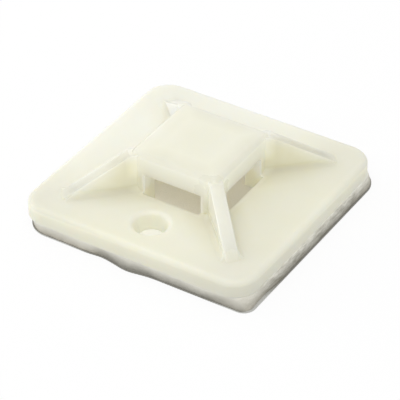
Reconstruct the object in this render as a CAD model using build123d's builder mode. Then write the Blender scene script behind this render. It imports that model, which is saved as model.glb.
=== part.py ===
from build123d import *
import os

# Four-way cable tie mount moulded in nylon, on a foam tape pad with its release liner.
# Millimetres. +Z is up and the origin is under the plate's centre, on the surface the liner rests on.
# X and Y run along the plate's edges, and the screw hole is in the bay on the -Y side.

# Plate
plate_side = 28.0
plate_thickness = 1.9
plate_corner_radius = 2.9
plate_edge_radius = 0.6

# Bridge, the square block that the tie passes under
bridge_side = 10.9
bridge_thickness = 2.5
bridge_corner_radius = 0.7
bridge_edge_radius = 0.6

# Tunnels, one along X and one along Y, open below through a window in the plate
tunnel_width = 7.0
tunnel_height = 2.2
tunnel_ceiling_radius = 0.12
window_reach = 0.35

# Ribs, from the bridge's corners down the plate's diagonals
rib_count = 4
rib_turn = 45
rib_width = 1.5
rib_drop = 0.3
rib_corner_distance = 3.5
rib_edge_radius = 0.15
rib_root_radius = 0.7

# Screw hole, in the middle of its bay's flat: a short bore that flares towards its mouth
hole_diameter = 2.8
hole_flare = 0.55
hole_flare_angle = 40
hole_rim_radius = 0.6

# Tape and liner, laid a little out of line with the plate, with one corner cut closer to square
foam_thickness = 1.3
liner_thickness = 0.15
tape_corner_radius = 2.9
tape_tight_radius = 1.3
tape_shift_x = 0.36
tape_shift_y = 0.22
liner_overhang = 0.08

# Cutting wave in the tape's -Y edge: a dip, then a bulge
wave_start = -6.0
wave_dip = -3.9
wave_bulge = -0.7
wave_end = 3.2
wave_dip_depth = 0.15
wave_bulge_depth = 0.36

# Levels
plate_bottom = liner_thickness + foam_thickness
plate_middle = plate_bottom + plate_thickness / 2
plate_top = plate_bottom + plate_thickness
tunnel_top = plate_top + tunnel_height
bridge_top = tunnel_top + bridge_thickness
rib_head_z = bridge_top - rib_drop

# The hole, in the middle of the flat between the window and the round of the plate's edge
window_edge = bridge_side / 2 + window_reach
hole_y = -(window_edge + plate_side / 2 - plate_edge_radius) / 2
hole_radius = hole_diameter / 2

# Places along a diagonal, measured from the centre
diagonal = 2**0.5
rib_head = bridge_side / 2 * diagonal
rib_foot = (plate_side / 2 - plate_corner_radius) * diagonal + plate_corner_radius - rib_corner_distance
rib_slope = (rib_foot - rib_head) / (rib_head_z - plate_top)
rib_end = rib_foot + rib_slope * (plate_top - plate_middle)

os.makedirs("parts", exist_ok=True)


def rib_profile(drop):
    """Side view of a rib along +X from the centre, with its top lowered by drop."""
    with BuildSketch(Plane.XZ) as profile:
        with BuildLine():
            Polyline(
                (0, plate_middle),
                (rib_end - rib_slope * drop, plate_middle),
                (rib_head, rib_head_z - drop),
                (0, rib_head_z - drop),
                close=True,
            )
        make_face()
    return profile.sketch


def tape_outline(overhang):
    """Outline of the tape, grown by overhang: a square with a wave in its -Y edge and one tight corner."""
    half = plate_side / 2 + overhang
    radius = tape_corner_radius + overhang
    tight_radius = tape_tight_radius + overhang
    straight = half - radius
    tight_straight = half - tight_radius
    with BuildSketch() as outline:
        with BuildLine():
            Line((-straight, -half), (wave_start, -half))
            Spline(
                (wave_start, -half),
                (wave_dip, wave_dip_depth - half),
                (wave_bulge, -wave_bulge_depth - half),
                (wave_end, -half),
                tangents=((1, 0), (1, 0)),
            )
            Line((wave_end, -half), (tight_straight, -half))
            RadiusArc((tight_straight, -half), (half, -tight_straight), -tight_radius)
            Line((half, -tight_straight), (half, straight))
            RadiusArc((half, straight), (straight, half), -radius)
            Line((straight, half), (-straight, half))
            RadiusArc((-straight, half), (-half, straight), -radius)
            Line((-half, straight), (-half, -straight))
            RadiusArc((-half, -straight), (-straight, -half), -radius)
        make_face()
    return outline.sketch


# One rib along +X: a sloping bar with eased top edges
with BuildPart() as rib:
    extrude(rib_profile(0), amount=rib_width / 2, both=True)
    fillet(rib.edges().filter_by(Axis((0, 0, 0), (rib_slope, 0, -1))), rib_edge_radius)

# The hollow fillets along that rib's two sides, which run out where the rib runs into the plate
with BuildPart() as rib_root:
    root_edge = rib_width / 2 + rib_root_radius
    root_top = plate_top + rib_root_radius
    with BuildSketch(Plane.YZ):
        with BuildLine():
            Polyline((0, root_top), (0, plate_middle), (root_edge, plate_middle), (root_edge, plate_top))
            RadiusArc((root_edge, plate_top), (rib_width / 2, root_top), rib_root_radius)
            Line((rib_width / 2, root_top), (0, root_top))
        make_face()
        mirror(about=Plane.YZ)
    extrude(amount=rib_end)
    extrude(rib_profile(rib_edge_radius), amount=root_edge, both=True, mode=Mode.INTERSECT)

with BuildPart() as tie_mount:
    with BuildSketch(Plane.XY.offset(plate_bottom)):
        RectangleRounded(plate_side, plate_side, plate_corner_radius)
    extrude(amount=plate_thickness)
    fillet(tie_mount.edges().group_by(Axis.Z)[-1], plate_edge_radius)
    with BuildSketch(Plane.XY.offset(plate_bottom)):
        RectangleRounded(bridge_side, bridge_side, bridge_corner_radius)
    extrude(amount=bridge_top - plate_bottom)
    fillet(tie_mount.edges().group_by(Axis.Z)[-1], bridge_edge_radius)
    with PolarLocations(0, rib_count, start_angle=rib_turn):
        add(rib.part)
        add(rib_root.part)
    for side in (Plane.XZ, Plane.YZ):
        with BuildSketch(side):
            with Locations((0, tunnel_top / 2)):
                Rectangle(tunnel_width, tunnel_top)
            fillet(vertices().group_by(Axis.Z)[-1], tunnel_ceiling_radius)
        extrude(amount=window_edge, both=True, mode=Mode.SUBTRACT)
    with Locations((0, hole_y, plate_top)):
        CounterSinkHole(hole_radius, hole_radius + hole_flare, counter_sink_angle=hole_flare_angle)
    fillet(tie_mount.edges(Select.LAST).group_by(Axis.Z)[-1], hole_rim_radius)
tie_mount.part.label = "tie_mount"
export_step(tie_mount.part, "parts/tie_mount.step")

with BuildPart() as foam_pad:
    with BuildSketch(Plane.XY.offset(liner_thickness)):
        with Locations((tape_shift_x, tape_shift_y)):
            add(tape_outline(0))
    extrude(amount=foam_thickness)
foam_pad.part.label = "foam_pad"
export_step(foam_pad.part, "parts/foam_pad.step")

with BuildPart() as release_liner:
    with BuildSketch():
        with Locations((tape_shift_x, tape_shift_y)):
            add(tape_outline(liner_overhang))
    extrude(amount=liner_thickness)
release_liner.part.label = "release_liner"
export_step(release_liner.part, "parts/release_liner.step")
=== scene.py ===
import math
from types import SimpleNamespace

import bmesh
import bpy
from bpy.props import FloatProperty, FloatVectorProperty, PointerProperty
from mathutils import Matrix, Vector, noise


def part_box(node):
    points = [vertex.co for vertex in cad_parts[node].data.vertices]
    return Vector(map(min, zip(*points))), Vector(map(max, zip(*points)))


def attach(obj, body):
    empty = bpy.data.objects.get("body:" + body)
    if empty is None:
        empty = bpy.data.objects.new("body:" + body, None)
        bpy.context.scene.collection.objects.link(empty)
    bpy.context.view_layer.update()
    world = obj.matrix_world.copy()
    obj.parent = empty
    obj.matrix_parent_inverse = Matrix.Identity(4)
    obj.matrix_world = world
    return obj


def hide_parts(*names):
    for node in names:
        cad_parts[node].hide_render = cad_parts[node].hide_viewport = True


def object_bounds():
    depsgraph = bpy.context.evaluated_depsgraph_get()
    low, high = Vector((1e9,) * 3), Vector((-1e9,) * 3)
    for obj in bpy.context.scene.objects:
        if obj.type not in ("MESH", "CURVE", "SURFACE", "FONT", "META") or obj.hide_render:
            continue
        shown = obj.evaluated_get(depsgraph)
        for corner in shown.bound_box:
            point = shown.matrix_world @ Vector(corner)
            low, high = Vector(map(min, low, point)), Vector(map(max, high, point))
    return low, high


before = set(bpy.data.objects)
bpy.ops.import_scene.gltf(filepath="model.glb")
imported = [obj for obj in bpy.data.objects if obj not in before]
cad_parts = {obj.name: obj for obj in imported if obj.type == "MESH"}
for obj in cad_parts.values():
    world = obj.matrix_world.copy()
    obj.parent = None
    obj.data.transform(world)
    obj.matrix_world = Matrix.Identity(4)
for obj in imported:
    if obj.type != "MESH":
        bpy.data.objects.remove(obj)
CAD_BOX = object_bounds()

bl_info = {
    "name": "Cable Tie Mount",
    "version": (1, 0, 0),
    "blender": (4, 5, 0),
    "location": "View3D > Sidebar > Tie Mount",
    "description": "Dresses a packed cable tie mount: nylon moulding, foam pad, release liner and studio",
    "category": "Object",
}

BODY = "root"
MM = 0.001
UP = Vector((0, 0, 1))
WHITE = (1, 1, 1, 1)

# How masks run from the start of a span to its end
RISE = (0, 1)
FALL = (1, 0)

# Noise stays mostly in this part of its range from 0 to 1
NOISE_SPAN = (0.3, 0.7)

# Each mask below is a span of one field, from where the mask starts to where it ends.
# Fields of place are in millimetres on the piece. With their signs left off, the larger of X and Y is the
# spread, their sum is the reach and their difference is the distance off a rib. With their signs, X less Y is
# across, which grows from the -X +Y corner to the +X -Y one.
# Fields of facing are parts of the surface's unit normal.
# A share is a mask's greatest or least value.
# A noise is its waves in a millimetre, its detail and, where it isn't the usual one, its roughness.

# Nylon, the plate
# Painted light on the plate towards -X +Y, where the light falls, and yellower painted shade towards +X and
# -Y
PALE_LIT_ACROSS = (-14.0, -4.0)
WARM_SHADE_X = (3.0, 12.0)
WARM_SHADE_Y = (-10.0, -13.0)
# Painted shade at the plate's corners, weaker at the -X +Y corner
CORNER_REACH = (17.0, 26.0)
CORNER_SHARE = 0.8
CORNER_ACROSS = (-20.0, -10.0)
CORNER_BACK_SHARE = 0.4
# Painted shade on the plate beside the ribs' roots, fading away from the bridge
ROOT_OFF_RIB = (0.9, 5.0)
ROOT_SHARE = 0.8
ROOT_SPREAD = (6.0, 12.0)
ROOT_CLEAR = (0.5, 1.1)
# Painted light on the plate's upright sides, much less towards the +X -Y corner
RIM_FACING = (0.2, 0.5)
RIM_SPREAD = (12.0, 12.5)
RIM_ACROSS = (8.0, 22.0)
RIM_FRONT_SHARE = 0.1

# Nylon, the ribs
# Painted light on the +X -Y rib, the -X +Y rib and the ribs' far ends, and painted shade near the bridge and
# along the ribs' upper faces
FRONT_RIB_ACROSS = (6.0, 10.0)
BACK_RIB_ACROSS = (-8.0, -12.0)
RIB_END_SPREAD = (6.5, 10.5)
# Painted shade along the ribs' upper faces, left off the -X +Y rib
CREST_FACING = (0.4, 0.8)
CREST_SHARE = 0.8
CREST_ACROSS = (-14.0, -8.0)

# Nylon, the bridge
# Painted shade along the edges of the bridge's top
EDGE_SPREAD = (3.0, 5.4)
EDGE_HEIGHT = (7.2, 8.0)
EDGE_SHARE = 0.9
# Painted shade on the bridge's posts, and painted light on its sides, most on the +X side
POST_HEIGHT = (4.8, 6.0)
BRIGHT_FACING = (0.3, 0.8)
WALL_FACING = (0.1, 0.4)
TUNNEL_SIDE = (3.6, 3.9)
TUNNEL_CEILING = (5.5, 5.7)

# Nylon, all over
# Painted shade along upper edges that face -X, except towards the +X -Y rib
SHADE_MINUS_X_FACING_X = (-0.1, -0.5)
SHADE_MINUS_X_FACING_Z = (0.15, 0.35)
SHADE_MINUS_X_ACROSS = (4.0, 8.0)
CLOUD_NOISE = (0.18, 3.0)
CLOUD_SPAN = (0.35, 0.65)
CLOUD_SHARE = 0.25
SKIN_NOISE = (0.7, 4.0)
SKIN_SWING = 0.06
WAVE_NOISE = (0.22, 1.0)
GRAIN_NOISE = (9.0, 3.0, 0.6)
POLISHED_GRAIN_SHARE = 0.15
SCATTER_RATIO = (1.0, 0.92, 0.75)
NYLON_IOR = 1.53

# Foam, the cut sides
# The cut sides are painted greyer towards the foot, with held grit and painted shade, and less so at the
# sides' ends
FRONT_FACING = (-0.5, -0.9)
FRONT_END_X = (-2.8, -5.0)
# The +X side takes streaked grit and painted shade, lighter near its ends
RIGHT_FACING = (0.5, 0.9)
LEAN_SHARE = 0.5
RIGHT_END_Y = (8.0, 12.0)
RIGHT_END_LIGHTER = 0.5
# Painted shadow where the foam's edge is recessed by the bulge on the -Y side
BULGE_X = -0.7
BULGE_REACH = (1.5, 4.5)
BULGE_SHARE = 0.17
PATCH_NOISE = (0.6, 4.0)
PATCH_SWING = 0.1
STREAK_STRETCH = (1.0, 0.3, 1.3)
STREAK_NOISE = (2.2, 5.0, 0.65)
STREAK_SPAN = (0.38, 0.64)
# Streaked grit and painted shade on the +X side, most towards the foot
DARKEN_RISE = (0.1, 1.0)
DARKEN_SHARES = (0.72, 0.42)
TIP_ACROSS = (23.0, 25.5)
TIP_SHARE = 0.35

# Foam, the top
FLAT_FACING = (0.6, 0.9)
WINDOW_SPREAD = (5.9, 6.1)
# Painted shade in the plate's window, more towards +X
WINDOW_SHADE_X = (1.5, 4.5)
WINDOW_SHADE_SHARE = 0.35
LEDGE_SPREAD = (12.0, 12.5)

# Foam, all over
CELL_DEPTH = 0.25
FOAM_ROUGHNESS = 0.8

# Foam, the tears in its edge
PAD_ROWS = 14
TEARS_PER_MM = 1.6
TEAR_FRACTAL = (1.0, 2.0, 4)

# Release liner
FIBRE_NOISE = (5.0, 5.0, 0.65)
FIBRE_HEIGHT = 0.004 * MM
# Painted contact shadow on the cut edge, lifted on +X near one corner and at the ends of the -Y side
LIT_EDGE_REACH = (4.0, 7.0)
LIT_EDGE_WANDER = 1
LIT_EDGE_DEPTHS = (0.9, 0.5)
LIT_EDGE_FACING = (-0.5, -0.8)
LIT_EDGE_LEFT_X = (-5.0, -8.0)
LIT_EDGE_RIGHT_X = (9.5, 12.0)
UNDER_FACING = (-0.4, -0.6)
PAPER_ROUGHNESS = 0.45

# Reading the CAD meshes
WELD_GAP = 0.0001 * MM
LEVEL_GAP = 0.01 * MM
LEVEL_FACING = 0.9
FEWEST_POINTS = 3

# Stage. A lamp is its turn from -Y and its height in degrees, its distance and size in metres, and the name
# of the setting for its power.
LAMPS = {
    "softbox_key": (32, 58, 0.4, 0.25, "key"),
    "softbox_left": (-76, 12, 0.4, 0.25, "left"),
    "softbox_back": (-140, 35, 0.12, 0.1, "back"),
    "glint_lamp": (-31, 62, 0.4, 0.025, "glint"),
}
CAMERA_CLIP = 0.001
FLOOR_RADIUS = 3.0
FLOOR_SEGMENTS = 64
FLOOR_GAP = 0.01 * MM
LIGHT_BOUNCES = 16


def colour(name, description, default):
    """A colour that a user may change."""
    return FloatVectorProperty(
        name=name, description=description, subtype="COLOR", size=3, min=0, max=1, default=default
    )


def length(name, description, default):
    """A length in metres that a user may change."""
    return FloatProperty(
        name=name, description=description, unit="LENGTH", precision=6, min=0, default=default
    )


def angle(name, description, default):
    """An angle, given in degrees, that a user may change."""
    return FloatProperty(name=name, description=description, unit="ROTATION", default=math.radians(default))


def share(name, description, default):
    """A share between 0 and 1 that a user may change."""
    return FloatProperty(name=name, description=description, subtype="FACTOR", min=0, max=1, default=default)


def level(name, description, default):
    """A plain number from 0 up that a user may change."""
    return FloatProperty(name=name, description=description, min=0, default=default)


class MouldingSettings(bpy.types.PropertyGroup):
    """Finish of the nylon moulding."""

    tint: colour("Tint", "Nylon of the bridge's top", (0.84, 0.83, 0.69))
    plate_tint: colour("Plate tint", "Nylon of the plate, with white foam behind it", (0.885, 0.872, 0.745))
    # Painted shade, yellower, towards +X and -Y, and painted light, whiter, towards -X +Y and on the -X +Y
    # rib
    warm_shade_tint: colour("Aged tint", "Yellower nylon towards the plate's +X and -Y sides", (0.855, 0.84, 0.685))
    pale_lit_tint: colour("Fresh tint", "Whiter nylon of the plate and the rib at -X +Y", (0.90, 0.893, 0.785))
    # Painted light: the plate's upright sides are painted paler
    upright_lit_tint: colour("Rim tint", "Nylon of the plate's upright sides", (0.93, 0.905, 0.74))
    # Painted light on the bridge's sides, most on the +X side, and painted shade on its posts
    wall_lit_tint: colour("Wall tint", "Nylon of the bridge's sides", (0.895, 0.88, 0.73))
    bright_lit_tint: colour("Bright tint", "Nylon of the bridge's +X side, the palest", (0.97, 0.95, 0.735))
    post_shade_tint: colour("Post tint", "Nylon of the bridge's four posts", (0.76, 0.74, 0.585))
    # Painted shade: the plate's corners are painted darker
    corner_shade_tint: colour("Corner tint", "Nylon at the plate's corners", (0.745, 0.735, 0.635))
    # Painted shade: the ribs are painted darker near the bridge
    rib_shade_tint: colour("Rib tint", "Nylon of the thin ribs, which hold less light", (0.68, 0.66, 0.515))
    # Painted shade: the ribs' upper faces are painted darker
    crest_shade_tint: colour("Crest tint", "Nylon along the ribs' upper faces", (0.52, 0.51, 0.42))
    # Painted light: the +X -Y rib and the ribs' far ends are painted paler
    front_lit_tint: colour("Front tint", "Nylon of the +X -Y rib and of the ribs' far ends", (0.80, 0.785, 0.64))
    inner_tint: colour("Inner tint", "Nylon inside the tunnels, lit through the posts", (0.97, 0.945, 0.80))
    # Painted shade: the edges of the bridge's top are painted darker
    edge_shade_tint: colour("Edge tint", "Nylon along the edges of the bridge's top", (0.70, 0.687, 0.565))
    # Painted shade: upper edges that face -X are painted darker
    shade_minus_x_tint: colour("Backlit tint", "Nylon along upper edges that face -X", (0.58, 0.565, 0.46))
    # Painted shade: the plate beside a rib's root is painted darker and warmer
    root_shade_tint: colour("Root tint", "Nylon of the plate beside a rib's root", (0.68, 0.645, 0.47))
    haze: colour("Haze", "Paler, drier patches in the nylon", (0.89, 0.885, 0.79))
    scatter: length("Scatter", "How far light travels inside the bridge and ribs", 6.0 * MM)
    plate_scatter: length("Plate scatter", "How far light travels under the plate's upper face", 1.6 * MM)
    seam_scatter: length("Seam scatter", "How far light travels next to the foam", 0.1 * MM)
    plate_top: length("Plate top", "Height of the plate's upper face", 3.35 * MM)
    bridge_half: length("Bridge half", "Half of the bridge's width", 5.45 * MM)
    fade: length("Fade", "Distance over which one tint passes into the next", 0.9 * MM)
    roughness: share("Roughness", "Roughness of the moulded skin", 0.44)
    polish: share("Polish", "How much smoother the +X -Y rib is", 0.24)
    grain: length("Grain", "Height of the mould's fine grain", 0.006 * MM)
    sink: length("Sink", "Height of the soft waves in the moulded faces", 0.03 * MM)


class PadSettings(bpy.types.PropertyGroup):
    """Shape and finish of the foam pad."""

    step: length("Step", "Spacing of the points round the pad's edge", 0.12 * MM)
    seam: length("Seam", "Gap that the adhesive films take on each face", 0.004 * MM)
    plate_corner: length("Plate corner", "Radius of the plate's corners, which hold the pad's top", 2.9 * MM)
    hold: share("Hold", "How far the plate draws the pad's upper edge to its own outline", 0.9)
    waist: length("Waist", "How far the knife drew the middle of the edge in", 0.04 * MM)
    pinch: length("Pinch", "How far the +X side draws in beside the tight corner", 0.2 * MM)
    pinch_start: length("Pinch start", "Where the draw starts, from the -Y side", 0.6 * MM)
    pinch_length: length("Pinch length", "How far the draw goes on along the +X side", 5.4 * MM)
    ragged: length("Ragged", "Height of the tears along the cut edge", 0.08 * MM)
    tint: colour("Tint", "Clean foam under the plate", (0.99, 0.985, 0.93))
    # Painted shade: foam in the plate's window is painted darker for the shade under the bridge
    window: colour("Window", "Foam open to dust in the plate's window", (0.90, 0.88, 0.85))
    side: colour("Side", "Cut side near the plate", (0.97, 0.95, 0.85))
    # Held grit and painted shade: the cut sides are painted darker towards the foot
    grime_and_shade: colour("Grime", "Dust held along the lower edge", (0.30, 0.29, 0.25))
    # A lighter grit at the sides' ends and a corner, and painted shade in the plate's window towards +X
    dust_and_shade: colour("Dust", "Thinner dust at the sides' ends, a corner and the window", (0.50, 0.475, 0.40))
    # Streaked grit and painted shade: the +X side is painted darker
    dirt_and_shade: colour("Dirt", "Dirt in the open cells of the +X side", (0.20, 0.185, 0.13))
    cell: length("Cell", "Size of the foam's cells", 0.14 * MM)


class LinerSettings(bpy.types.PropertyGroup):
    """Finish of the release liner."""

    tint: colour("Tint", "Coated lower face", (0.80, 0.83, 0.86))
    # Painted shadow: the cut edge is painted dark for the contact shadow under the liner
    edge: colour("Edge", "Cut edge of the paper core", (0.26, 0.25, 0.22))
    # Painted light: parts of the cut edge where the painted shadow is lifted
    corner: colour("Corner", "Cleaner parts of the cut edge, at and near corners", (0.58, 0.58, 0.55))


class StageSettings(bpy.types.PropertyGroup):
    """Camera, lights and floor."""

    azimuth: angle("Azimuth", "Camera's turn from the -Y side", 32.06)
    elevation: angle("Elevation", "Camera's height above the horizon", 36.62)
    distance: length("Distance", "Camera's distance from the object", 239.76 * MM)
    aim_right: length("Aim right", "How far right of the origin the camera aims", 0.013 * MM)
    aim_up: length("Aim up", "How far above the origin the camera aims", 0.2 * MM)
    lens: FloatProperty(name="Lens", description="Focal length", unit="CAMERA", default=199.985)
    key: level("Key", "Power of the high softbox above the camera, in watts", 0.36)
    left: level("Left", "Power of the low softbox on the left, in watts", 0.45)
    back: level("Back", "Power of the small softbox close behind, in watts", 0.0125)
    glint: level("Glint", "Power of the small lamp that picks out edges, in watts", 0.03)
    ambient: level("Ambient", "Level of the even light all round", 0.702)
    floor: share("Floor", "Paleness of the floor", 0.75)
    floor_shadow: share("Floor shadow", "How much of the floor's shade the camera sees", 0.12)


def settings(name):
    """One of this scene's setting groups."""
    return getattr(bpy.context.scene, "tie_mount_" + name)


# Shader building

def new_material(name):
    """A material with an empty tree, and its Principled shader."""
    material = bpy.data.materials.new(name)
    material.use_nodes = True
    tree = material.node_tree
    tree.nodes.clear()
    shader = tree.nodes.new("ShaderNodeBsdfPrincipled")
    output = tree.nodes.new("ShaderNodeOutputMaterial")
    tree.links.new(shader.outputs["BSDF"], output.inputs["Surface"])
    return material, tree, shader


def add_node(tree, kind, values=None, links=None, **options):
    """A node with its options, its fixed values and its incoming links set."""
    made = tree.nodes.new(kind)
    for option, value in options.items():
        setattr(made, option, value)
    for socket, value in (values or {}).items():
        made.inputs[socket].default_value = value
    for socket, source in (links or {}).items():
        tree.links.new(source, made.inputs[socket])
    return made


def fill_socket(tree, socket, source):
    """Gives a socket a fixed value, or a link from the output of a node."""
    if isinstance(source, bpy.types.NodeSocket):
        tree.links.new(source, socket)
    else:
        socket.default_value = source


def calculate(tree, operation, *values):
    """A sum on one or two values, each a number or the output of a node."""
    made = add_node(tree, "ShaderNodeMath", operation=operation)
    for socket, value in zip(made.inputs, values):
        fill_socket(tree, socket, value)
    return made.outputs["Value"]


def product(tree, first, *others):
    """Two or more values multiplied, each a number or the output of a node."""
    for other in others:
        first = calculate(tree, "MULTIPLY", first, other)
    return first


def read_surface(tree):
    """The fields that masks are made from: the place on the piece, and the way its surface faces there."""
    coordinates = add_node(tree, "ShaderNodeTexCoord").outputs
    place = add_node(
        tree,
        "ShaderNodeVectorMath",
        {"Scale": 1 / MM},
        {"Vector": coordinates["Object"]},
        operation="SCALE",
    ).outputs["Vector"]
    axes = add_node(tree, "ShaderNodeSeparateXYZ", None, {"Vector": place}).outputs
    facing = add_node(tree, "ShaderNodeSeparateXYZ", None, {"Vector": coordinates["Normal"]}).outputs
    out_x = calculate(tree, "ABSOLUTE", axes["X"])
    out_y = calculate(tree, "ABSOLUTE", axes["Y"])
    return SimpleNamespace(
        place=place,
        x=axes["X"],
        y=axes["Y"],
        z=axes["Z"],
        facing_x=facing["X"],
        facing_y=facing["Y"],
        facing_z=facing["Z"],
        out_x=out_x,
        out_y=out_y,
        spread=calculate(tree, "MAXIMUM", out_x, out_y),
        across=calculate(tree, "SUBTRACT", axes["X"], axes["Y"]),
    )


def noise_of(tree, place, per_mm, detail, roughness=0.5):
    """Noise with per_mm waves in a millimetre, from 0 to 1."""
    made = add_node(
        tree,
        "ShaderNodeTexNoise",
        {"Scale": per_mm, "Detail": detail, "Roughness": roughness},
        {"Vector": place},
    )
    return made.outputs["Fac"]


def remap(tree, source, span, to=RISE):
    """A mask: source between the two ends of span, taken to the range to."""
    made = add_node(
        tree,
        "ShaderNodeMapRange",
        {"From Min": span[0], "From Max": span[1], "To Min": to[0], "To Max": to[1]},
        {"Value": source},
    )
    return made.outputs["Result"]


def mix_colours(tree, factor, first, second):
    """A colour between first and second, each a colour or the output of a node."""
    made = add_node(tree, "ShaderNodeMix", data_type="RGBA")
    result = next(s for s in made.outputs if s.type == "RGBA")
    sockets = [s for s in made.inputs if s.type == "RGBA"]
    tree.links.new(factor, made.inputs["Factor"])
    for socket, source in zip(sockets, (first, second)):
        fill_socket(tree, socket, source if isinstance(source, bpy.types.NodeSocket) else (*source, 1))
    return result


def bump(tree, height, distance, under=None):
    """A bump of that height in metres, laid over another one if there is one."""
    links = {"Height": height}
    if under is not None:
        links["Normal"] = under
    made = add_node(tree, "ShaderNodeBump", {"Strength": 1.0, "Distance": distance}, links)
    return made.outputs["Normal"]


def nylon_plate(tree, look, spot):
    """Colour of the plate, with painted light and shade: paler towards -X +Y and yellower towards +X and -Y,
    darker at its corners and beside the ribs' roots, and paler on its upright sides.
    """
    # Painted light towards -X +Y and yellower painted shade towards +X and -Y
    plate = mix_colours(tree, remap(tree, spot.across, PALE_LIT_ACROSS), look.pale_lit_tint, look.plate_tint)
    in_warm_shade = calculate(tree, "MAXIMUM", remap(tree, spot.x, WARM_SHADE_X), remap(tree, spot.y, WARM_SHADE_Y))
    plate = mix_colours(tree, in_warm_shade, plate, look.warm_shade_tint)
    # Painted shade at the corners
    at_corner = product(
        tree,
        remap(tree, calculate(tree, "ADD", spot.out_x, spot.out_y), CORNER_REACH, (0, CORNER_SHARE)),
        remap(tree, spot.across, CORNER_ACROSS, (CORNER_BACK_SHARE, 1)),
    )
    plate = mix_colours(tree, at_corner, plate, look.corner_shade_tint)
    # Painted shade beside the ribs' roots
    off_rib = calculate(tree, "ABSOLUTE", calculate(tree, "SUBTRACT", spot.out_x, spot.out_y))
    at_root = product(
        tree,
        remap(tree, off_rib, ROOT_OFF_RIB, (ROOT_SHARE, 0)),
        remap(tree, spot.spread, ROOT_SPREAD, FALL),
        remap(tree, off_rib, ROOT_CLEAR),
    )
    plate = mix_colours(tree, at_root, plate, look.root_shade_tint)
    # Painted light on the upright sides, fading towards the +X -Y corner
    upright = product(
        tree,
        remap(tree, spot.facing_z, RIM_FACING, FALL),
        remap(tree, spot.spread, RIM_SPREAD),
        remap(tree, spot.across, RIM_ACROSS, (1, RIM_FRONT_SHARE)),
    )
    return mix_colours(tree, upright, plate, look.upright_lit_tint)


def nylon_rib(tree, look, spot, forward):
    """Colour of the ribs, with painted light and shade: painted shade near the bridge and along their upper
    faces, and painted light at their far ends and on two of the four.
    """
    # Painted shade near the bridge, passing into painted light at the far ends
    rib = mix_colours(tree, remap(tree, spot.spread, RIB_END_SPREAD), look.rib_shade_tint, look.front_lit_tint)
    # Painted shade along the upper faces
    crest = product(
        tree,
        remap(tree, spot.facing_z, CREST_FACING, (0, CREST_SHARE)),
        remap(tree, spot.across, CREST_ACROSS),
    )
    rib = mix_colours(tree, crest, rib, look.crest_shade_tint)
    # Painted light on the -X +Y rib, lifting its shaded crest
    rib = mix_colours(tree, remap(tree, spot.across, BACK_RIB_ACROSS), rib, look.pale_lit_tint)
    # Painted light on the +X -Y rib
    return mix_colours(tree, forward, rib, look.front_lit_tint)


def nylon_bridge(tree, look, spot):
    """Colour of the bridge, with painted light and shade: its top with painted shade along its edges, its
    sides painted paler and its +X side palest, its posts painted darker, and the inside of its tunnels
    painted lighter.
    """
    # Painted shade along the top's edges
    at_edge = product(
        tree, remap(tree, spot.spread, EDGE_SPREAD), remap(tree, spot.z, EDGE_HEIGHT, (0, EDGE_SHARE))
    )
    bridge = mix_colours(tree, at_edge, look.tint, look.edge_shade_tint)
    # Painted shade on the posts, and painted light on the sides above them, most on the +X side
    above_post = remap(tree, spot.z, POST_HEIGHT)
    wall = mix_colours(tree, above_post, look.post_shade_tint, look.wall_lit_tint)
    bright = product(tree, remap(tree, spot.facing_x, BRIGHT_FACING), above_post)
    wall = mix_colours(tree, bright, wall, look.bright_lit_tint)
    bridge = mix_colours(tree, remap(tree, spot.facing_z, WALL_FACING, FALL), bridge, wall)
    inside = product(
        tree,
        remap(tree, calculate(tree, "MINIMUM", spot.out_x, spot.out_y), TUNNEL_SIDE, FALL),
        remap(tree, spot.z, TUNNEL_CEILING, FALL),
    )
    return mix_colours(tree, inside, bridge, look.inner_tint)


def nylon_material(look, low):
    """Natural nylon from the height low up: ivory, satin and translucent, with painted light and shade in its
    colour.
    """
    material, tree, shader = new_material("nylon")
    spot = read_surface(tree)
    raised = remap(tree, spot.z, (look.plate_top / MM, (look.plate_top + look.fade) / MM))
    beyond = remap(tree, spot.spread, (look.bridge_half / MM, (look.bridge_half + look.fade) / MM))
    forward = remap(tree, spot.across, FRONT_RIB_ACROSS)
    around = mix_colours(tree, raised, nylon_plate(tree, look, spot), nylon_rib(tree, look, spot, forward))
    body = mix_colours(tree, beyond, nylon_bridge(tree, look, spot), around)
    # Painted shade along upper edges that face -X
    shade_minus_x = product(
        tree,
        remap(tree, spot.facing_x, SHADE_MINUS_X_FACING_X),
        remap(tree, spot.facing_z, SHADE_MINUS_X_FACING_Z),
        remap(tree, spot.across, SHADE_MINUS_X_ACROSS, FALL),
        raised,
    )
    body = mix_colours(tree, shade_minus_x, body, look.shade_minus_x_tint)
    clouds = remap(tree, noise_of(tree, spot.place, *CLOUD_NOISE), CLOUD_SPAN, (0, CLOUD_SHARE))
    tree.links.new(mix_colours(tree, clouds, body, look.haze), shader.inputs["Base Color"])

    in_plate = remap(tree, spot.z, (low / MM, look.plate_top / MM), (look.seam_scatter, look.plate_scatter))
    above = remap(tree, raised, RISE, (0, look.scatter - look.plate_scatter))
    tree.links.new(calculate(tree, "ADD", in_plate, above), shader.inputs["Subsurface Scale"])

    skin_range = (look.roughness - SKIN_SWING, look.roughness + SKIN_SWING)
    skin = remap(tree, noise_of(tree, spot.place, *SKIN_NOISE), NOISE_SPAN, skin_range)
    polished = product(tree, forward, raised)
    smoother = product(tree, polished, look.polish)
    tree.links.new(calculate(tree, "SUBTRACT", skin, smoother), shader.inputs["Roughness"])

    waves = bump(tree, noise_of(tree, spot.place, *WAVE_NOISE), look.sink)
    grain_left = remap(tree, polished, RISE, (1, POLISHED_GRAIN_SHARE))
    grain = product(tree, noise_of(tree, spot.place, *GRAIN_NOISE), grain_left)
    tree.links.new(bump(tree, grain, look.grain, waves), shader.inputs["Normal"])

    shader.inputs["Subsurface Weight"].default_value = 1.0
    shader.inputs["Subsurface Radius"].default_value = SCATTER_RATIO
    shader.inputs["IOR"].default_value = NYLON_IOR
    return material


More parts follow.
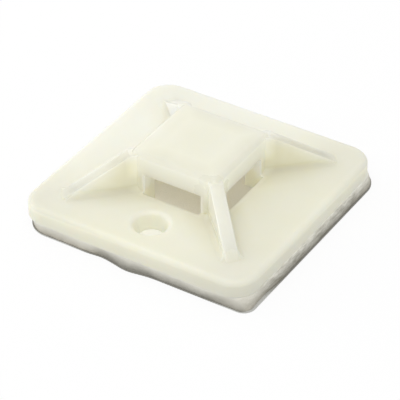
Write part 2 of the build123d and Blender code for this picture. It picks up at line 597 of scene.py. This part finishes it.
def foam_side(tree, look, spot, low, high):
    """Colour of the pad's cut sides: greyer towards the foot with held grit and painted shade, darker on +X
    with streaked grit and painted shade, with a painted shadow in the recess by the bulge, and darker at the
    tight corner.
    """
    front = remap(tree, spot.facing_y, FRONT_FACING)
    leaning = product(tree, spot.facing_z, LEAN_SHARE)
    right = remap(tree, calculate(tree, "ADD", spot.facing_x, leaning), RIGHT_FACING)
    front_end = product(tree, front, remap(tree, spot.x, FRONT_END_X))
    right_end = product(tree, right, remap(tree, spot.out_y, RIGHT_END_Y))
    at_end = calculate(tree, "MAXIMUM", front_end, right_end)
    # Held grit and painted shade at the foot, lighter at the sides' ends
    foot = mix_colours(tree, at_end, look.grime_and_shade, look.dust_and_shade)

    patch = remap(tree, noise_of(tree, spot.place, *PATCH_NOISE), NOISE_SPAN, (-PATCH_SWING, PATCH_SWING))
    rise = calculate(tree, "ADD", remap(tree, spot.z, (low / MM, high / MM)), patch)
    # Painted shadow where the foam's edge is recessed by the bulge
    off_bulge = calculate(tree, "ABSOLUTE", calculate(tree, "SUBTRACT", spot.x, BULGE_X))
    bulge_shadow = product(tree, front, remap(tree, off_bulge, BULGE_REACH, (BULGE_SHARE, 0)))
    rise = calculate(tree, "SUBTRACT", rise, bulge_shadow)
    side = mix_colours(tree, remap(tree, rise, RISE), foot, look.side)

    # Streaked grit and painted shade on the +X side, lighter near its ends
    plus_x_darkening = calculate(tree, "SUBTRACT", right, product(tree, right_end, RIGHT_END_LIGHTER))
    drawn_out = add_node(
        tree, "ShaderNodeVectorMath", {1: STREAK_STRETCH}, {0: spot.place}, operation="MULTIPLY"
    ).outputs["Vector"]
    streaks = remap(tree, noise_of(tree, drawn_out, *STREAK_NOISE), STREAK_SPAN)
    darkened = product(tree, streaks, remap(tree, rise, DARKEN_RISE, DARKEN_SHARES), plus_x_darkening)
    side = mix_colours(tree, darkened, side, look.dirt_and_shade)
    return mix_colours(tree, remap(tree, spot.across, TIP_ACROSS, (0, TIP_SHARE)), side, look.dust_and_shade)


def foam_material(look, low, high):
    """Closed-cell foam between two heights: spotless under the plate, painted darker in the plate's window
    for the shade under the bridge, and darker on its sides with grit and painted shade.
    """
    material, tree, shader = new_material("foam")
    spot = read_surface(tree)
    side = foam_side(tree, look, spot, low, high)
    # Painted shade in the window, deeper towards +X
    shaded_towards_x = remap(tree, spot.x, WINDOW_SHADE_X, (0, WINDOW_SHADE_SHARE))
    open_foam = mix_colours(tree, shaded_towards_x, look.window, look.dust_and_shade)
    top = mix_colours(tree, remap(tree, spot.spread, WINDOW_SPREAD, FALL), look.tint, open_foam)
    top = mix_colours(tree, remap(tree, spot.spread, LEDGE_SPREAD), top, side)
    flat = remap(tree, calculate(tree, "ABSOLUTE", spot.facing_z), FLAT_FACING)
    tree.links.new(mix_colours(tree, flat, side, top), shader.inputs["Base Color"])
    cells = add_node(tree, "ShaderNodeTexVoronoi", {"Scale": MM / look.cell}, {"Vector": spot.place})
    walls = bump(tree, cells.outputs["Distance"], look.cell * CELL_DEPTH)
    tree.links.new(walls, shader.inputs["Normal"])
    shader.inputs["Roughness"].default_value = FOAM_ROUGHNESS
    return material


def liner_material(look, corner):
    """Coated paper whose cut edge is painted dark for contact shadow, and painted lighter on +X near one
    corner and at the ends of its -Y side.
    """
    material, tree, shader = new_material("release_paper")
    spot = read_surface(tree)
    fibres = noise_of(tree, spot.place, *FIBRE_NOISE)
    away = add_node(
        tree, "ShaderNodeVectorMath", {1: corner / MM}, {0: spot.place}, operation="DISTANCE"
    ).outputs["Value"]
    wander = calculate(tree, "ADD", away, remap(tree, fibres, NOISE_SPAN, (-LIT_EDGE_WANDER, LIT_EDGE_WANDER)))
    at_side = remap(tree, spot.x, [corner.x / MM - depth for depth in LIT_EDGE_DEPTHS])
    near_corner = product(tree, remap(tree, wander, LIT_EDGE_REACH, FALL), at_side)
    front = remap(tree, spot.facing_y, LIT_EDGE_FACING)
    at_end = calculate(
        tree, "MAXIMUM", remap(tree, spot.x, LIT_EDGE_LEFT_X), remap(tree, spot.x, LIT_EDGE_RIGHT_X)
    )
    # Where the painted contact shadow is lifted
    lit_edge = calculate(tree, "MAXIMUM", near_corner, product(tree, front, at_end))
    edge = mix_colours(tree, lit_edge, look.edge, look.corner)
    under = remap(tree, spot.facing_z, UNDER_FACING)
    tree.links.new(mix_colours(tree, under, edge, look.tint), shader.inputs["Base Color"])
    tree.links.new(bump(tree, fibres, FIBRE_HEIGHT), shader.inputs["Normal"])
    shader.inputs["Roughness"].default_value = PAPER_ROUGHNESS
    return material


# Mesh building

def edge_loop(node):
    """The outline of a flat CAD node's top face, as points in order round it."""
    mesh = bmesh.new()
    mesh.from_mesh(node.data)
    bmesh.ops.remove_doubles(mesh, verts=mesh.verts, dist=WELD_GAP)
    top = max(v.co.z for v in mesh.verts)
    rim = {e for e in mesh.edges if sum(f.normal.z > LEVEL_FACING for f in e.link_faces) == 1}
    rim = {e for e in rim if all(abs(v.co.z - top) < LEVEL_GAP for v in e.verts)}
    if not rim:
        mesh.free()
        raise RuntimeError("no outline on the CAD node " + node.name)
    # A start that depends only on the outline gives the same points each run
    edge = min(rim, key=lambda e: sorted((v.co.y, v.co.x) for v in e.verts))
    here = min(edge.verts, key=lambda v: (v.co.y, v.co.x))
    points = []
    while edge is not None:
        points.append(here.co.copy())
        rim.discard(edge)
        here = edge.other_vert(here)
        edge = next((e for e in here.link_edges if e in rim), None)
    mesh.free()
    return points


def evenly_spaced(points, step):
    """Points about step apart along a closed outline, turning anticlockwise seen from above."""
    area = sum(a.x * b.y - b.x * a.y for a, b in zip(points, points[1:] + points[:1]))
    if area < 0:
        points = points[::-1]
    lengths = [(b - a).length for a, b in zip(points, points[1:] + points[:1])]
    count = max(round(sum(lengths) / step), FEWEST_POINTS)
    spacing = sum(lengths) / count
    spaced = []
    index = 0
    start = 0.0
    for k in range(count):
        while start + lengths[index] < k * spacing:
            start += lengths[index]
            index += 1
        along = (k * spacing - start) / lengths[index]
        spaced.append(points[index].lerp(points[(index + 1) % len(points)], along))
    return spaced


def outward(points):
    """Unit vectors pointing out of a closed anticlockwise outline, one for each point."""
    ahead = points[1:] + points[:1]
    behind = points[-1:] + points[:-1]
    return [(b - a).cross(UP).normalized() for a, b in zip(behind, ahead)]


def stacked_mesh(name, rings):
    """A closed mesh from rings of points, lowest first, with flat ends."""
    mesh = bmesh.new()
    rows = [[mesh.verts.new(p) for p in ring] for ring in rings]
    for lower, upper in zip(rows, rows[1:]):
        for a, b, c, d in zip(lower, lower[1:] + lower[:1], upper[1:] + upper[:1], upper):
            mesh.faces.new((a, b, c, d)).smooth = True
    for end in (rows[0][::-1], rows[-1]):
        for edge in mesh.faces.new(end).edges:
            edge.smooth = False
    data = bpy.data.meshes.new(name)
    mesh.to_mesh(data)
    mesh.free()
    piece = bpy.data.objects.new(name, data)
    bpy.context.scene.collection.objects.link(piece)
    return piece


def on_rounded_square(point, half, radius):
    """The nearest place to a point, at its own height, on a square outline with round corners."""
    core = half - radius
    inner = Vector((min(max(point.x, -core), core), min(max(point.y, -core), core), point.z))
    return inner + (point - inner).normalized() * radius


def paint(piece, material):
    """Gives a piece one material all over."""
    piece.data.materials.clear()
    piece.data.materials.append(material)


class TIEMOUNT_OT_moulding(bpy.types.Operator):
    """Gives the CAD moulding its nylon finish"""

    bl_idname = "tie_mount.moulding"
    bl_label = "Nylon Moulding"

    def execute(self, context):
        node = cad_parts["tie_mount"]
        paint(node, nylon_material(settings("moulding"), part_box("tie_mount")[0].z))
        return {"FINISHED"}


class TIEMOUNT_OT_foam_pad(bpy.types.Operator):
    """Cuts the foam pad to its CAD solid's outline, with a torn edge"""

    bl_idname = "tie_mount.foam_pad"
    bl_label = "Foam Pad"

    def execute(self, context):
        look = settings("pad")
        lowest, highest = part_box("foam_pad")
        plate_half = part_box("tie_mount")[1].x
        bottom = lowest.z + look.seam
        top = highest.z - look.seam
        outline = evenly_spaced(edge_loop(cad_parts["foam_pad"]), look.step)
        out = outward(outline)
        rings = []
        for row in range(PAD_ROWS + 1):
            rise = row / PAD_ROWS
            ring = []
            for point, away in zip(outline, out):
                place = Vector((point.x, point.y, bottom + (top - bottom) * rise))
                torn = (1 + noise.fractal(place / MM * TEARS_PER_MM, *TEAR_FRACTAL)) / 2
                along = min(max((point.y - lowest.y - look.pinch_start) / look.pinch_length, 0), 1)
                pinch = look.pinch * math.sin(math.pi * along) * max(away.x, 0)
                waist = look.waist * math.sin(math.pi * rise)
                inset = waist + (look.ragged * torn + pinch) * (1 - rise)
                held = on_rounded_square(place, plate_half, look.plate_corner)
                ring.append(place.lerp(held, look.hold * rise**2) - away * inset)
            rings.append(ring)
        pad = stacked_mesh("foam_tape_pad", rings)
        paint(pad, foam_material(look, lowest.z, highest.z))
        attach(pad, BODY)
        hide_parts("foam_pad")
        return {"FINISHED"}


class TIEMOUNT_OT_release_liner(bpy.types.Operator):
    """Gives the CAD liner its coated paper finish"""

    bl_idname = "tie_mount.release_liner"
    bl_label = "Release Liner"

    def execute(self, context):
        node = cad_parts["release_liner"]
        lowest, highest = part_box("release_liner")
        paint(node, liner_material(settings("liner"), Vector((highest.x, lowest.y, lowest.z))))
        return {"FINISHED"}


# Stage

def direction(azimuth, elevation):
    """Unit vector towards a place at that turn from -Y and that height, both in radians."""
    flat = math.cos(elevation)
    return Vector((math.sin(azimuth) * flat, -math.cos(azimuth) * flat, math.sin(elevation)))


def make_camera(stage):
    """The camera at the photograph's angle."""
    back = direction(stage.azimuth, stage.elevation)
    right = UP.cross(back).normalized()
    upward = back.cross(right)
    data = bpy.data.cameras.new("camera")
    data.lens = stage.lens
    data.clip_start = CAMERA_CLIP
    camera = bpy.data.objects.new("camera", data)
    camera.location = back * stage.distance + right * stage.aim_right + upward * stage.aim_up
    camera.rotation_mode = "QUATERNION"
    camera.rotation_quaternion = (-back).to_track_quat("-Z", "Y")
    bpy.context.scene.collection.objects.link(camera)
    bpy.context.scene.camera = camera


def make_softbox(name, azimuth, elevation, distance, size, power):
    """A square softbox that faces the object, with its turn and height in degrees."""
    data = bpy.data.lights.new(name, "AREA")
    data.size = size
    data.energy = power
    lamp = bpy.data.objects.new(name, data)
    towards = direction(math.radians(azimuth), math.radians(elevation))
    lamp.location = towards * distance
    lamp.rotation_mode = "QUATERNION"
    lamp.rotation_quaternion = (-towards).to_track_quat("-Z", "Y")
    bpy.context.scene.collection.objects.link(lamp)


def seen_directly(tree):
    """1 for camera, glossy and transmission rays, and 0 for the rest."""
    path = add_node(tree, "ShaderNodeLightPath").outputs
    first = calculate(tree, "MAXIMUM", path["Is Camera Ray"], path["Is Glossy Ray"])
    return calculate(tree, "MAXIMUM", first, path["Is Transmission Ray"])


def make_world(stage):
    """Even light all round, with a white background where it is seen directly."""
    world = bpy.data.worlds.new("studio")
    world.use_nodes = True
    tree = world.node_tree
    tree.nodes.clear()
    strength = remap(tree, seen_directly(tree), RISE, (stage.ambient, 1))
    light = add_node(tree, "ShaderNodeBackground", {"Color": WHITE}, {"Strength": strength})
    output = add_node(tree, "ShaderNodeOutputWorld")
    tree.links.new(light.outputs["Background"], output.inputs["Surface"])
    bpy.context.scene.world = world


def floor_material(stage):
    """A pale floor that reads as white where it is seen directly, apart from the object's faint shadow."""
    material = bpy.data.materials.new("floor")
    material.use_nodes = True
    tree = material.node_tree
    tree.nodes.clear()
    pale = (stage.floor, stage.floor, stage.floor, 1)
    matt = add_node(tree, "ShaderNodeBsdfDiffuse", {"Color": pale}).outputs["BSDF"]
    shaded = add_node(tree, "ShaderNodeBsdfDiffuse", {"Color": WHITE}).outputs["BSDF"]
    glow = add_node(tree, "ShaderNodeEmission", {"Color": WHITE, "Strength": 1.0}).outputs["Emission"]
    backdrop = add_node(tree, "ShaderNodeMixShader", {0: stage.floor_shadow}, {1: glow, 2: shaded})
    both = add_node(
        tree, "ShaderNodeMixShader", None, {0: seen_directly(tree), 1: matt, 2: backdrop.outputs["Shader"]}
    )
    output = add_node(tree, "ShaderNodeOutputMaterial")
    tree.links.new(both.outputs["Shader"], output.inputs["Surface"])
    return material


def make_floor(stage):
    """A round floor under the object."""
    mesh = bmesh.new()
    bmesh.ops.create_circle(mesh, cap_ends=True, radius=FLOOR_RADIUS, segments=FLOOR_SEGMENTS)
    data = bpy.data.meshes.new("floor")
    mesh.to_mesh(data)
    mesh.free()
    floor = bpy.data.objects.new("floor", data)
    floor.location.z = CAD_BOX[0].z - FLOOR_GAP
    bpy.context.scene.collection.objects.link(floor)
    paint(floor, floor_material(stage))


class TIEMOUNT_OT_stage(bpy.types.Operator):
    """Sets up the camera, the soft studio light and the pale floor"""

    bl_idname = "tie_mount.stage"
    bl_label = "Stage"

    def execute(self, context):
        stage = settings("stage")
        make_camera(stage)
        for name, (azimuth, elevation, distance, size, power) in LAMPS.items():
            make_softbox(name, azimuth, elevation, distance, size, getattr(stage, power))
        make_world(stage)
        make_floor(stage)
        context.scene.view_settings.view_transform = "Standard"
        context.scene.cycles.diffuse_bounces = LIGHT_BOUNCES
        context.scene.cycles.max_bounces = LIGHT_BOUNCES
        return {"FINISHED"}


OPERATORS = (
    TIEMOUNT_OT_moulding,
    TIEMOUNT_OT_foam_pad,
    TIEMOUNT_OT_release_liner,
    TIEMOUNT_OT_stage,
)
SETTINGS = {
    "moulding": MouldingSettings,
    "pad": PadSettings,
    "liner": LinerSettings,
    "stage": StageSettings,
}


class TIEMOUNT_PT_panel(bpy.types.Panel):
    """Lists the mount's pieces and their settings"""

    bl_idname = "TIEMOUNT_PT_panel"
    bl_label = "Tie Mount"
    bl_space_type = "VIEW_3D"
    bl_region_type = "UI"
    bl_category = "Tie Mount"

    def draw(self, context):
        for operator, (name, group) in zip(OPERATORS, SETTINGS.items()):
            box = self.layout.box()
            box.operator(operator.bl_idname)
            for key in group.__annotations__:
                box.prop(settings(name), key)


def register():
    """Adds the settings, the operators and the panel."""
    for name, group in SETTINGS.items():
        bpy.utils.register_class(group)
        setattr(bpy.types.Scene, "tie_mount_" + name, PointerProperty(type=group))
    for operator in OPERATORS:
        bpy.utils.register_class(operator)
    bpy.utils.register_class(TIEMOUNT_PT_panel)


def unregister():
    """Takes away what register added."""
    bpy.utils.unregister_class(TIEMOUNT_PT_panel)
    for operator in reversed(OPERATORS):
        bpy.utils.unregister_class(operator)
    for name, group in SETTINGS.items():
        delattr(bpy.types.Scene, "tie_mount_" + name)
        bpy.utils.unregister_class(group)


def main():
    """Makes every piece in order."""
    register()
    bpy.ops.tie_mount.moulding()
    bpy.ops.tie_mount.foam_pad()
    bpy.ops.tie_mount.release_liner()
    bpy.ops.tie_mount.stage()


if __name__ == "__main__":
    main()
